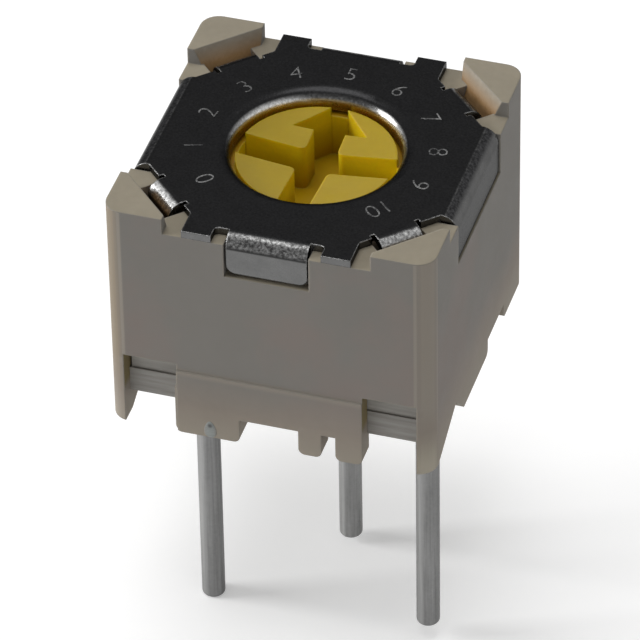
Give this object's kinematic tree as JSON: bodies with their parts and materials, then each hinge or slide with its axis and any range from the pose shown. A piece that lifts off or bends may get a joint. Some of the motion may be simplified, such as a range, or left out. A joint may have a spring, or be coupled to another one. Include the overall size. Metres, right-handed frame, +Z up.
{
  "type": "trimmer potentiometer",
  "caption": "Small square top-adjust trimmer with a cross-slotted arrow rotor under a folded metal cover, moulded corner posts and feet, and round leads.",
  "frame": {"origin": "centre of the housing's plan on the plane of the standoff feet, where the part sits on its board", "axes": "+Z up along the rotor axis towards the driver, +X to the right along the front wall with the two windows, +Y from the front lead row to the back"},
  "size_m": [0.007, 0.007, 0.0106],
  "materials": {
    "housing_plastic": "moulded, satin",
    "cover_steel": "bright rolled",
    "rotor_plastic": "moulded, satin",
    "seal_rubber": "matte",
    "wiper_alloy": "bright",
    "alumina": "fired ceramic",
    "cermet_film": "printed film",
    "silver_film": "printed film",
    "tinned_lead": "tin plated",
    "solder": "reflowed",
    "resin": "poured, satin"
  },
  "bodies": {
    "base": {"housing": "housing_plastic", "cover": "cover_steel", "substrate": "alumina", "resistive_track": "cermet_film", "end_electrode_1": "silver_film", "end_electrode_3": "silver_film", "collector_electrode": "silver_film", "lead_1": "tinned_lead", "lead_2": "tinned_lead", "lead_3": "tinned_lead", "solder_1": "solder", "solder_2": "solder", "solder_3": "solder", "sealing_resin": "resin"},
    "turning": {"rotor": "rotor_plastic", "o_ring": "seal_rubber", "wiper": "wiper_alloy"}
  },
  "joints": [
    {"name": "rotor_spin", "type": "hinge", "parent": "base", "child": "turning", "pos_m": [0, 0, 0.0048], "axis": [0, 0, 1], "range_deg": [-130, 130]}
  ]
}
